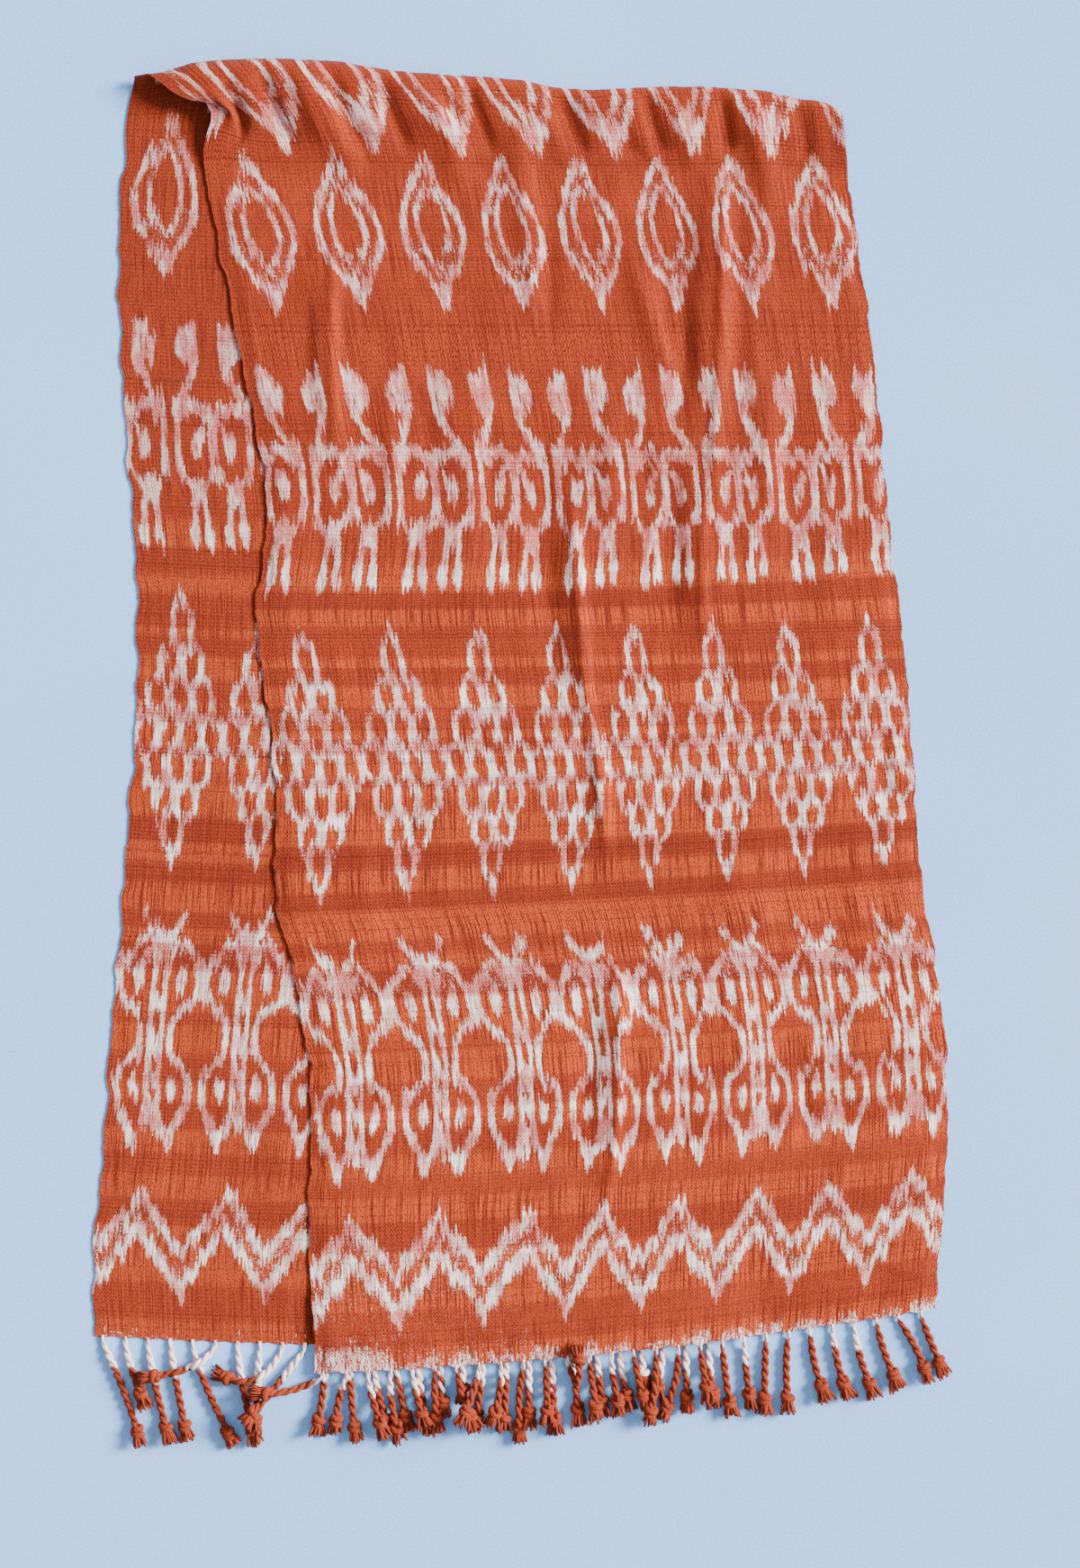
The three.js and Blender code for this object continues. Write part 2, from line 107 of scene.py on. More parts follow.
# Creases of the over half: x and y of a curve's start, of the point that it is drawn towards and
# of its end, then the crease's height (below zero for a trough) and its half-width.
CREASES = [
    # The CAD's large folds. The first six are lower and wider than there, and 3 mm further left.
    (-145, 364, -149, 289, -142, 218, 3.6, 12), (138, 425, 139, 328, 131, 231, 3.8, 13),
    (124, 212, 121, 140, 124, 81, 3.6, 12), (29, 179, 33, 101, 43, 23, 3.4, 12),
    (43, 20, 52, -29, 54, -75, 3, 11), (60, -150, 71, -211, 59, -295, 3.2, 13),
    (78, 361, 96, 309, 112, 257, 3.5, 9), (160, 474, 175, 436, 188, 385, 4, 10),
    (-8, 462, 8, 393, 8, 328, 3.5, 11), (-75, 476, -48, 445, -42, 400, 3.5, 11),
    (-150, 480, -128, 448, -120, 405, 3.5, 11), (70, 458, 82, 425, 94, 392, -3, 9),
    (16, 440, 16, 410, 17, 375, -2.5, 9), (-226, 474, -209, 458, -228, 434, 5, 5),
    (-213, 477, -200, 456, -217, 432, -8, 6),
    # Finer ones round the fold.
    (-223, 474, -216, 480, -206, 488, -3, 3), (-190, 500, -186, 470, -164, 436, -4, 6),
    (-163, 498, -157, 472, -140, 436, 3, 7), (-140, 494, -134, 466, -112, 430, -4.5, 7),
    (-104, 490, -98, 466, -80, 432, -4, 7), (-42, 486, -36, 464, -22, 434, -4, 7),
    (24, 478, 32, 460, 46, 430, -4.5, 8), (88, 478, 92, 460, 104, 430, -3.5, 6),
    (143, 478, 147, 460, 150, 430, -4, 6), (198, 470, 206, 450, 206, 418, -3, 7),
    (110, 470, 118, 452, 124, 420, 2, 6), (-60, 480, -52, 466, -40, 446, -3, 5),
    # Finer ones down the over half.
    (-154, 330, -160, 290, -150, 240, -2.5, 8), (6, 345, 9, 330, 4, 312, 1.5, 5),
    (16, 372, 22, 340, 19, 300, -2, 6), (98, 372, 112, 330, 118, 262, -2.5, 8),
    # Narrow crests, each on the right of a large fold.
    (145, 410, 148, 320, 139, 195, 3.9, 5), (133, 205, 130, 140, 133, 70, 3.2, 4.6),
    (36, 195, 41, 105, 51, 5, 3.8, 5), (51, 15, 60, -29, 62, -80, 3.2, 4.6),
    (67, -145, 79, -211, 61, -335, 3.2, 4.6), (-136, 385, -140, 289, -133, 195, 2.8, 4.6),
    # Hollows and low folds beside them.
    (116, 425, 118, 345, 109, 216, -2, 13), (154, 420, 162, 350, 156, 240, -2, 8),
    (139, 225, 144, 160, 142, 90, 3, 7), (110, 215, 107, 140, 111, 84, -2.2, 11),
    (14, 225, 16, 120, 28, 40, -2.6, 12), (44, 20, 48, -30, 47, -62, -2.5, 8),
    (48, -150, 53, -215, 43, -330, -2.6, 10),
    # Short ones elsewhere.
    (-100, 262, -92, 220, -96, 150, 2.4, 7), (-70, 275, -64, 225, -68, 160, -2, 8),
    (66, 262, 62, 220, 66, 150, 2.2, 8), (88, 245, 90, 200, 86, 150, -2, 7),
    (180, 262, 176, 220, 184, 160, 2, 8), (-24, 250, -20, 200, -26, 120, -1.8, 8),
    (-150, 190, -144, 150, -150, 110, -2, 8), (262, 20, 264, -10, 262, -42, -2.5, 5),
    (112, -240, 119, -270, 114, -310, -1.5, 7), (205, -225, 204, -255, 206, -280, -2, 5),
    (262, -372, 282, -380, 304, -376, 2.4, 5), (268, -392, 288, -396, 306, -392, 1.8, 4),
    # Broad, shallow ones.
    (-96, 150, -88, 60, -92, -40, 1.3, 14), (-40, 290, -30, 190, -36, 90, 1.3, 14),
    (176, 380, 168, 200, 160, 20, 1.3, 14), (214, 300, 221, 180, 226, 60, 1.5, 15),
    (150, -60, 162, -160, 158, -260, 1.5, 14), (240, -40, 248, -140, 252, -260, 1.5, 13),
    (-60, -140, -54, -230, -62, -330, 1.4, 14), (-120, -40, -112, -110, -118, -190, 1.2, 12),
    (-30, -330, -24, -370, -40, -410, -1.4, 12), (-96, -400, -80, -420, -40, -424, -1.6, 9),
]

# -------------------- the camera

PHOTO_HEIGHT = 1742  # pixels
MM_PER_PIXEL = 0.654
VIEW_CENTRE = (14.3, -23.1)  # the place on the floor in the middle of the photo
CAMERA_HEIGHT = 3000
SENSOR = 36  # the height of the camera's sensor


def add_camera():
    """Looks straight down at the scarf."""
    data = bpy.data.cameras.new("camera")
    data.sensor_fit = "VERTICAL"
    data.sensor_height = SENSOR
    data.lens = SENSOR * CAMERA_HEIGHT / (PHOTO_HEIGHT * MM_PER_PIXEL)
    camera = bpy.data.objects.new("camera", data)
    camera.location = (VIEW_CENTRE[0] / METRE, VIEW_CENTRE[1] / METRE, CAMERA_HEIGHT / METRE)
    bpy.context.collection.objects.link(camera)
    bpy.context.scene.camera = camera


add_camera()

# -------------------- helpers on arrays

CURVE_STEPS = 200  # in which a curve is measured before its points are spaced evenly
WAVE_GROWTH = 1.55  # from one wave of a wander to the next longer one


def smoothstep(x, low, high):
    """Rises smoothly from 0 at low to 1 at high."""
    t = np.clip((x - low) / (high - low), 0, 1)
    return t * t * (3 - 2 * t)


def lerp(a, b, t):
    return a + (b - a) * t


def bell(x):
    """A smooth bump: 1 at 0, and nearly nothing beyond 2 either way."""
    return np.exp(-x * x)


def sagging(s):
    """0 at both selvedges, and 1 half way between them."""
    return 4 * s * (1 - s)


def along(rows, key, column, at):
    """A smooth curve through a table's rows: one column's value where another's is at."""
    keys, values = rows[key], rows[column]
    last = len(keys) - 1
    k = np.clip(np.searchsorted(keys, at, side="right") - 1, 0, last - 1)
    before, after = np.maximum(k - 1, 0), np.minimum(k + 2, last)
    span = keys[k + 1] - keys[k]
    leaving = (values[k + 1] - values[before]) / (keys[k + 1] - keys[before]) * span
    arriving = (values[after] - values[k]) / (keys[after] - keys[k]) * span
    t = (at - keys[k]) / span
    u = np.clip(t, 0, 1)
    curve = lerp(values[k], values[k + 1], u * u * (3 - 2 * u))
    curve = curve + leaving * (1 - u) ** 2 * u - arriving * (1 - u) * u * u
    return curve + np.minimum(t, 0) * leaving + np.maximum(t - 1, 0) * arriving


def to_path(x, y, points):
    """How far each place lies from a path, and what share of the path lies before it."""
    points = np.array(points, float)
    steps = np.hypot(*np.diff(points, axis=0).T)
    starts = np.concatenate([[0], np.cumsum(steps)])
    nearest = np.full(np.shape(x), np.inf)
    share = np.zeros(np.shape(x))
    for (x0, y0), (x1, y1), step, start in zip(points, points[1:], steps, starts):
        t = np.clip(((x - x0) * (x1 - x0) + (y - y0) * (y1 - y0)) / step**2, 0, 1)
        away = np.hypot(x - lerp(x0, x1, t), y - lerp(y0, y1, t))
        closer = away < nearest
        nearest = np.where(closer, away, nearest)
        share = np.where(closer, (start + t * step) / starts[-1], share)
    return nearest, share


def travelled(points):
    """The length of a path before each of its points."""
    steps = np.linalg.norm(np.diff(points, axis=0), axis=1)
    return np.concatenate([[0], np.cumsum(steps)])


def spaced(points, count):
    """Points evenly spaced along a path, and its length."""
    before = travelled(points)
    places = np.linspace(0, before[-1], count)
    return np.stack([np.interp(places, before, axis) for axis in points.T], -1), before[-1]


def bend_curve(start, towards, end, count):
    """Evenly spaced points of a curve from start to end that is drawn towards a point."""
    t = np.linspace(0, 1, CURVE_STEPS)[:, None]
    return spaced((1 - t) ** 2 * start + 2 * t * (1 - t) * towards + t * t * end, count)


def wander(x, seed, shortest, count=5):
    """A smooth, irregular wave between about -1 and 1, whose shortest wavelength is given."""
    random = np.random.default_rng(seed)
    waves = shortest * WAVE_GROWTH ** np.arange(count)
    phases = random.uniform(0, 2 * math.pi, count)
    sizes = (waves / waves[-1]) ** 0.5
    total = sum(size * np.sin(2 * math.pi * x / w + p) for w, p, size in zip(waves, phases, sizes))
    return total / sizes.sum()


# -------------------- the cloth's surface
# s runs from 0 at the left selvedge to 1 at the right, and length from the under hem. These
# are the CAD's surfaces, with finer creases, uneven selvedges and small waves.

RIGHT_DROP = 28  # past the under half's right selvedge, where the over half reaches the floor
HEM_LIFT = 3.6  # how far the under fringe lifts the over hem
HEM_LIFT_LENGTH = 45
HEM_LIFT_END_X = 175
HEM_LIFT_FADE = 25
RUFFLE_WIDTH = 30  # how far in from the selvedge the ruffle reaches
RUFFLE_END = 90  # how far past the fold it ends
RUFFLE_RISE = 8
RUFFLE_FADE = 20
CREST_AT_LEFT = 920  # the length at which the fold's crest lies, at each selvedge
CREST_AT_RIGHT = 950
CREST_WANDER = 0.5
LEFT_RADIUS = 9.5  # of the roll
RIGHT_RADIUS = 6
HIGHEST_AT = 0.2  # the s round which the roll is thicker
EXTRA_RADIUS = 1.5
EXTRA_SPREAD = 0.15
LEFT_SHARE = 0.12  # the crest's place at each selvedge, from the weft below (0) to that above (1)
RIGHT_SHARE = 0.92
SHARE_BEND = 1.4  # how soon that grows from left to right
SWING_BEND = 1.7  # how soon the wefts swing from the crest's place to their own
CREASE_POINTS = 10
CREASE_REACH = 3  # in half-widths
SLACK = 2.2  # how far the over half stands off the under half, so that troughs can sink
SLACK_EDGE = 14  # in from a selvedge, the stretch over which the slack grows
SETTLING = 40  # the stretch before the roll over which the slack goes
WAVE_HEIGHT = 0.7
WAVE_LEAN = 0.11  # of the small waves, from the warp
NICK = 1.3  # how far single wefts lie out of line at a selvedge
NICK_REACH = 12
HEM_PULL = 1.7  # how far each strand draws the hem out to a point
HEM_RAGGED = 0.5
HEM_REACH = 4


def creased(x, y):
    """How far the creases raise the cloth. Each one fades towards its ends."""
    total = np.zeros(np.shape(x))
    for x0, y0, x1, y1, x2, y2, height, half_width in CREASES:
        reach = CREASE_REACH * half_width
        near = (x > min(x0, x1, x2) - reach) & (x < max(x0, x1, x2) + reach)
        if not near.any():
            continue
        ends = np.array([[x0, y0], [x1, y1], [x2, y2]], float)
        curve, _ = bend_curve(*ends, CREASE_POINTS)
        away, share = to_path(x[near], y[near], curve)
        fade = smoothstep(share, -0.1, 0.3) * (1 - smoothstep(share, 0.7, 1.1))
        total[near] += height * fade * bell(away / half_width)
    return total


def resting_height(x, y):
    """The top of the over half where it lies flat."""
    from_under_hem = y - UNDER_HEM_Y
    right = along(UNDER_EDGE, "from_hem", "x", np.clip(from_under_hem, 0, FLAT_LENGTH)) + WIDTH
    covered = 1 - smoothstep(x, right + 2, right + RIGHT_DROP)
    near_hem = 1 - smoothstep(from_under_hem, 0, HEM_LIFT_LENGTH)
    over_fringe = 1 - smoothstep(x, HEM_LIFT_END_X - HEM_LIFT_FADE, HEM_LIFT_END_X)
    return WALL + (WALL + GAP) * covered + HEM_LIFT * near_hem * over_fringe


def uneven(s, length):
    """How far the loom left each selvedge out of line, in nicks and in slow waves."""
    left = NICK * wander(length, 3, 7) + 1.2 * wander(length, 4, 40, 2)
    right = NICK * wander(length, 8, 7) + wander(length, 9, 45, 2)
    return left * bell(s * WIDTH / NICK_REACH) + right * bell((1 - s) * WIDTH / NICK_REACH)


def hem_points(s, from_hem):
    """How far the strands draw the hem outwards."""
    at_root = np.abs(np.cos(math.pi * (s * STRANDS - ROOT_PLACE))) ** 3
    ragged = HEM_RAGGED * wander(s * WIDTH, 17, 6)
    return (HEM_PULL * at_root + ragged) * np.exp(-from_hem / HEM_REACH)


def under_point(s, from_hem):
    """The outer face of the under half, which lies on the floor."""
    x = along(UNDER_EDGE, "from_hem", "x", from_hem) + WIDTH * s + uneven(s, from_hem)
    y = UNDER_HEM_Y + from_hem - UNDER_BOW * sagging(s) - hem_points(s, from_hem)
    return np.stack([x, y, 0 * x], -1)


def over_point(s, from_hem):
    """The outer face of the over half, which is seen."""
    def at(column):
        return along(OVER_WEFTS, "from_hem", column, from_hem)

    x = lerp(at("left_x"), at("right_x"), s) + uneven(s, WHOLE_LENGTH - from_hem)
    y = lerp(at("left_y"), at("right_y"), s) - at("bow") * sagging(s) - hem_points(s, from_hem)
    waves = WAVE_HEIGHT * wander(x + WAVE_LEAN * y, 21, 19) * (0.6 + 0.4 * wander(y, 5, 90))
    inside = smoothstep(np.minimum(s, 1 - s) * WIDTH, 0, SLACK_EDGE)
    settled = smoothstep(FLAT_LENGTH - from_hem, 0, SETTLING)
    height = np.maximum(0, (SLACK * inside + waves) * settled + creased(x, y))
    return np.stack([x, y, resting_height(x, y) + height], -1)


def crest_at(s):
    return lerp(CREST_AT_LEFT, CREST_AT_RIGHT, s)


def roll_radius(s):
    extra = EXTRA_RADIUS * bell((s - HIGHEST_AT) / EXTRA_SPREAD)
    return lerp(LEFT_RADIUS, RIGHT_RADIUS, s) + extra


def ruffled(point, s, past, resting):
    """Draws the roll near its left selvedge to the ruffled edge."""
    def at(column):
        return along(RUFFLED_EDGE, "past_fold", column, past)

    edge = np.stack([at("x") + s * WIDTH, at("y"), np.maximum(at("z"), resting)], -1)
    fading = smoothstep(past, RUFFLE_END - RUFFLE_FADE, RUFFLE_END)
    pull = bell(s * WIDTH / RUFFLE_WIDTH) * smoothstep(past, 0, RUFFLE_RISE) * (1 - fading)
    return lerp(point, edge, np.where(past > 0, pull, 0)[:, None])


def roll_point(s, length):
    """From the flat of the under half, over the crest of the fold, to the flat of the over half."""
    radius = roll_radius(s)
    past = length - crest_at(s)
    below, above = under_point(s, 0 * s + FLAT_LENGTH), over_point(s, 0 * s + FLAT_LENGTH)
    crest_share = lerp(LEFT_SHARE, RIGHT_SHARE, 1 - (1 - s) ** SHARE_BEND)
    crest_x = lerp(below[:, 0], above[:, 0], crest_share)
    crest_y = along(FOLD_LINE, "x", "y", crest_x) + CREST_WANDER * wander(crest_x, 51, 9)
    quarter = radius * math.pi / 2
    over = past > 0
    flat = np.where(over[:, None], above, below)
    whole = np.where(over, WHOLE_LENGTH - FLAT_LENGTH - crest_at(s), crest_at(s) - FLAT_LENGTH)
    turn = np.minimum(np.abs(past), quarter) / radius
    beyond = np.clip((np.abs(past) - quarter) / (whole - quarter), 0, 1)
    depth = crest_y - flat[:, 1]
    drop = radius * (1 - np.cos(turn)) + (depth - radius) * beyond
    share = np.clip(drop / depth, 0, 1)
    x = lerp(crest_x, flat[:, 0], 1 - (1 - share) ** SWING_BEND)
    y = crest_y - drop
    z = radius * (1 + np.sign(past) * np.sin(turn))
    resting = resting_height(x, y)
    top = z + (resting - 2 * radius) * smoothstep(beyond, 0, 1)
    top = np.maximum(top + creased(x, y) * smoothstep(past, 0, quarter), resting)
    point = np.stack([x, y, np.where(over, top, z)], -1)
    return ruffled(point, s, past, resting)


def cloth_point(s, length, inside=0):
    """Any place of the cloth, inside millimetres in from its outer face."""
    point = np.zeros((len(s), 3))
    under = length <= FLAT_LENGTH
    over = length >= WHOLE_LENGTH - FLAT_LENGTH
    roll = ~under & ~over
    point[under] = under_point(s[under], length[under])
    point[over] = over_point(s[over], WHOLE_LENGTH - length[over])
    if roll.any():
        point[roll] = roll_point(s[roll], length[roll])
    turn = np.clip((length - crest_at(s)) / roll_radius(s), -math.pi / 2, math.pi / 2)
    inwards = np.stack([0 * turn, -np.cos(turn), -np.sin(turn)], -1)
    return point + inwards * inside


# -------------------- the woven pattern
# Its figures stand in rows, one figure to a repeat, and are charted on half a repeat: a is how
# far a point lies from the figure's axis, and b how far it lies above the row's lower end. A
# line has a half-width and the places that it runs through; a veil is a line that is only
# speckled. A spot or a hole is an ellipse: its middle, then its half-axes.

REPEAT = 57
HALF = REPEAT / 2
AXES = (-31, 32, 94, 155, 211, 266, 321, 374, 432, 490)  # of the figures, from the left selvedge

ZIGZAGS = {
    "lines": [
        (2.4, (0, 103), (HALF, 64)),
        (2.4, (0, 79), (HALF, 37)),
        (1.4, (0, 103), (0, 107)),
        (1.4, (HALF, 37), (HALF, 29)),
    ],
    "veils": [(11, (0, 90), (HALF, 50))],
}
CRAB = {
    "lines": [
        (2.3, (13.5, 170), (8, 161), (1.5, 153)),
        (1.7, (2.4, 154), (3.6, 130)),
        (2.2, (4, 140), (8, 148), (14, 151), (20, 144), (26, 133)),
        (4.3, (HALF, 134), (HALF, 114)),
        (2.2, (24.5, 111), (17, 102), (11.5, 95)),
        (1.9, (10.4, 93), (9.8, 84), (10.2, 71)),
        (2.3, (11, 68), (18.5, 61), (23, 56)),
        (1.9, (23.6, 54), (24, 36)),
        (2.4, (23, 32), (17.5, 20), (13, 9), (12.4, 1)),
        (2.6, (12, 7), (8, 15), (3, 20)),
        (1.3, (3.8, 132), (3.8, 26)),
    ],
    "spots": [
        (0, 151, 4, 5), (0, 104, 5, 4), (0, 73, 4.6, 7), (0, 51, 4.6, 5), (0, 24, 7, 9),
        (14.2, 123, 3.4, 9.5), (12.4, 44, 3.4, 8),
    ],
    "veils": [(6, (4, 136), (12, 143), (22, 136)), (4, (4, 14), (13, 14))],
}
TREE_HOLES = [
    (0, 176, 4.2, 14), (7.4, 149, 4.7, 10), (0, 124, 5, 11), (14.6, 124, 5, 11),
    (7.2, 98, 5, 11), (21.5, 98, 5, 11), (0, 73, 5, 11), (14.2, 73, 5, 11),
    (7.2, 49, 4.7, 10), (0, 27, 4, 13),
]
TREE_RIM = (3.7, 4.8)  # the white round each hole, across and along
TREE = {
    "lines": [
        (1.8, (0, 190), (0, 200)),
        (2.0, (0, 14), (0, 1)),
        (2.6, (0, 110), (HALF, 110)),
        (1.9, (0, 86), (HALF, 86)),
    ],
    "spots": [(a, b, half_a + TREE_RIM[0], half_b + TREE_RIM[1])
              for a, b, half_a, half_b in TREE_HOLES],
    "holes": TREE_HOLES,
}
ANIMALS = {
    "lines": [
        (1.4, (19.5, 154), (20.2, 164)),
        (2.4, (19, 158), (19.3, 136), (16.5, 124), (11, 113), (5.5, 105)),
        (1.8, (4.3, 108), (4.3, 50)),
        (4.4, (6, 97), (13, 101), (22, 101), (HALF, 97)),
        (2.6, (HALF, 100), (HALF, 52)),
        (2.3, (4.5, 57), (8.5, 49), (16.5, 44), (24, 49), (28, 57)),
        (4.8, (16.5, 44), (16.5, 36)),
        (1.7, (13, 37), (12.4, 16)),
        (1.7, (20.5, 37), (21.3, 16)),
        (1.6, (22, 88), (20, 78)),
    ],
    "spots": [(14, 147, 8, 13), (17.3, 73, 3.8, 9.5), (12, 9, 3.2, 9.5), (21.8, 9, 3.2, 9.5)],
}
DIAMOND = {
    "lines": [
        (2.0, (0, 10), (7.5, 25), (16, 38), (20.5, 52), (20, 67), (17, 81), (11.5, 95),
         (5.5, 108), (0.5, 119)),
        (1.5, (0, 36), (6.5, 46), (10.8, 59), (10, 75), (5.5, 89), (0, 99)),
    ],
    "veils": [(2.6, (0, 24), (8, 37), (15, 52)), (2.2, (13, 80), (6, 98), (0, 112))],
    "spots": [(0, 15, 4.2, 10)],
}
FOLD_DIAMOND = {
    "lines": [
        (2.0, (0, 5), (8, 19), (16.5, 34), (21, 47), (22, 60)),
        (1.6, (0, 30), (6, 38), (10, 47), (10.8, 60)),
    ],
    "veils": [(5, (0, 20), (9, 32), (14, 44))],
    "spots": [(0, 20, 7, 12)],
}
MOTIF_ROWS = [  # the row's start from the hem, its end, its figure, and its shift across
    (0, 118, ZIGZAGS, 0),
    (137, 316, CRAB, 0),
    (340, 547, TREE, 0),
    (575, 750, ANIMALS, 0),
    (765, 887, DIAMOND, 0),
    (884, 940, FOLD_DIAMOND, HALF),
]
BUNDLE = 3.9  # the width of the yarns that were tied and dyed together
BUNDLE_SLIP = 2.3  # how far such a bundle slid along the warp before it was woven
SLIP = 5.5  # how far a single yarn may have slid
SMEAR = 0.4  # how much wider a figure is where its dye was kept off less sharply
YARN_PITCH = 2.2
RIB_PITCH = 2.6
FAR_OUTSIDE = 9.0  # a place this far outside every figure is plain

# The haze of veils and hems counts as this far outside a figure, and so it is only speckled.
VEIL = 0.75
HEM_SPECKLE = -0.05
WASH = 0.8
# Ellipses of haze: one on each half repeat, and two at the left of the over hem.
HEM_PATCH = (14, 0, 13, 9)
LEFT_PATCH = (24, 0, 34, 18)
LEFT_WASH = (60, 10, 100, 75)

# The stretches where the weft lies closer, as ribs.
RIBBED_BANDS = table("from_hem length strength", [
    (14, 27, 0.7), (81, 20, 0.8), (118, 17, 0.6), (152, 21, 0.8), (186, 20, 0.7),
    (229, 9, 0.5), (266, 22, 1.0), (297, 13, 0.8), (330, 15, 0.9), (360, 18, 1.0),
    (401, 12, 0.5), (422, 7, 0.9), (446, 11, 1.0), (462, 18, 0.7), (495, 15, 0.9),
    (515, 25, 0.8), (556, 18, 0.9), (612, 6, 0.5), (656, 22, 0.9), (703, 8, 0.4),
    (752, 6, 0.3), (838, 9, 0.35), (893, 12, 0.6),
])
EVEN_FROM, EVEN_FULL = 585, 600  # past here the whole weave is ribbed
EVEN_RIBS = 0.75


def to_ellipse(a, b, spot, power=2):
    """How far each place lies outside an ellipse, or with a higher power an oblong."""
    middle_a, middle_b, half_a, half_b = spot
    outwards = np.abs((a - middle_a) / half_a) ** power + np.abs((b - middle_b) / half_b) ** power
    return (outwards ** (1 / power) - 1) * min(half_a, half_b)


def to_figure(figure, a, b):
    """How far each place lies outside a figure; below zero inside it."""
    nearest = np.full(np.shape(a), FAR_OUTSIDE)
    for half_width, *points in figure.get("lines", []):
        nearest = np.minimum(nearest, to_path(a, b, points)[0] - half_width)
    for half_width, *points in figure.get("veils", []):
        veil = to_path(a, b, points)[0] - half_width
        nearest = np.minimum(nearest, np.maximum(veil, VEIL))
    for spot in figure.get("spots", []):
        nearest = np.minimum(nearest, to_ellipse(a, b, spot))
    for hole in figure.get("holes", []):
        nearest = np.maximum(nearest, -to_ellipse(a, b, hole, 3))
    return nearest


def bundle_slip(across):
    """How far each bundle of yarns slid, with a short blend from one bundle to the next."""
    random = np.random.default_rng(61)
    slips = random.normal(0, BUNDLE_SLIP, int(WIDTH / BUNDLE) + 12)
    place = across / BUNDLE + 0.8 * wander(across, 62, 15) + 4
    k = np.clip(np.floor(place).astype(int), 0, len(slips) - 2)
    return lerp(slips[k], slips[k + 1], smoothstep(place - k, 0.6, 1))


def from_axis(pattern):
    """How far each place lies from the axis of its figure."""
    return np.abs(np.mod(pattern + HALF, REPEAT) - HALF)


def hem_haze(across, pattern, from_hem, over):
    """How far each place lies outside the haze along the hems, which is lower on the under half."""
    tall = np.where(over, 1, 0.35) * np.clip(0.85 + 0.6 * wander(across, 47, 24), 0.2, 1.4)
    patches = to_ellipse(from_axis(pattern), from_hem / tall, HEM_PATCH)
    corner = np.where(over, to_ellipse(across, from_hem, LEFT_PATCH), FAR_OUTSIDE)
    wash = np.where(over, to_ellipse(across, from_hem, LEFT_WASH), FAR_OUTSIDE)
    speckled = np.maximum(np.minimum(patches, corner), HEM_SPECKLE)
    return np.minimum(speckled, np.maximum(wash, WASH))


def undyed(across, length):
    """How far each place lies outside the yarn that was tied off from the dye."""
    over = length > HALF_LENGTH
    from_hem = np.minimum(length, WHOLE_LENGTH - length)
    pattern = REPEAT * (np.interp(across, AXES, np.arange(len(AXES))) - 1)
    pattern = pattern + 1.1 * wander(length, 31, 23) + 0.6 * wander(across * 1.3, 37, 13)
    haze = hem_haze(across, pattern, from_hem, over)
    from_hem = from_hem + bundle_slip(across) + np.where(over, 1.8, -1.8) * wander(across, 43, 60, 2)
    smear = 0.5 + 0.9 * wander(across, 71, 60, 3) * wander(length, 72, 70, 3)
    nearest = np.full(np.shape(across), FAR_OUTSIDE)
    plain_corner = ~over & (across < HALF / 2)
    for start, end, figure, shift in MOTIF_ROWS:
        near = (from_hem > start - FAR_OUTSIDE) & (from_hem < end + FAR_OUTSIDE)
        if figure is FOLD_DIAMOND:
            near &= ~plain_corner
        a = from_axis(pattern[near] + shift)
        nearest[near] = np.minimum(nearest[near], to_figure(figure, a, from_hem[near] - start))
    return np.minimum(nearest - SMEAR * smear, haze)


def band_strength(length):
    """How strongly the weft shows as ribs."""
    from_hem = np.minimum(length, WHOLE_LENGTH - length)
    total = np.zeros(np.shape(length))
    for start, long, strength in zip(*RIBBED_BANDS.values()):
        band = smoothstep(from_hem, start - 1, start + 1)
        band = band * (1 - smoothstep(from_hem, start + long - 1, start + long + 1))
        total = np.maximum(total, strength * band)
    return np.maximum(total, EVEN_RIBS * smoothstep(from_hem, EVEN_FROM, EVEN_FULL))


# -------------------- meshes

SHARP_ANGLE = 50  # degrees, so that a wall's rim is sharp and its faces are smooth


def add_object(name, points, faces, material, attributes):
    """A mesh object. Its attributes are vectors at its points."""
    mesh = bpy.data.meshes.new(name)
    mesh.from_pydata((points / METRE).tolist(), [], faces)
    for attribute, values in attributes.items():
        layer = mesh.attributes.new(attribute, "FLOAT_VECTOR", "POINT")
        layer.data.foreach_set("vector", np.ascontiguousarray(values, np.float32).ravel())
    mesh.validate()
    mesh.shade_smooth()
    mesh.materials.append(material)
    obj = bpy.data.objects.new(name, mesh)
    bpy.context.collection.objects.link(obj)
    return obj


def grid_faces(columns, rows, start, turned):
    """Quads over a grid of points, numbered from start."""
    index = start + np.arange(columns * rows).reshape(rows, columns)
    quads = np.stack([index[:-1, :-1], index[1:, :-1], index[1:, 1:], index[:-1, 1:]], -1)
    quads = quads.reshape(-1, 4)
    return (quads[:, ::-1] if turned else quads).tolist()


def edge_loop(across, lengths, start):
    """A grid's edge points in turn, and the place of each round the edge, from 0 to 4."""
    index = start + np.arange(len(across) * len(lengths)).reshape(len(lengths), len(across))
    u = (across - across[0]) / (across[-1] - across[0])
    v = (lengths - lengths[0]) / (lengths[-1] - lengths[0])
    points = np.concatenate([index[0, :-1], index[:-1, -1], index[-1, :0:-1], index[:0:-1, 0]])
    places = np.concatenate([u[:-1], 1 + v[:-1], 3 - u[:0:-1], 4 - v[:0:-1]])
    return points.tolist() + [int(points[0])], places.tolist() + [4.0]


def join_loops(outer, inner):
    """The rim between the edges of two grids, as triangles."""
    (a, at_a), (b, at_b) = outer, inner
    faces = []
    i = j = 0
    while i < len(a) - 1 or j < len(b) - 1:
        if j == len(b) - 1 or (i < len(a) - 1 and at_a[i + 1] <= at_b[j + 1]):
            faces.append((a[i], a[i + 1], b[j]))
            i += 1
        else:
            faces.append((a[i], b[j + 1], b[j]))
            j += 1
    return faces


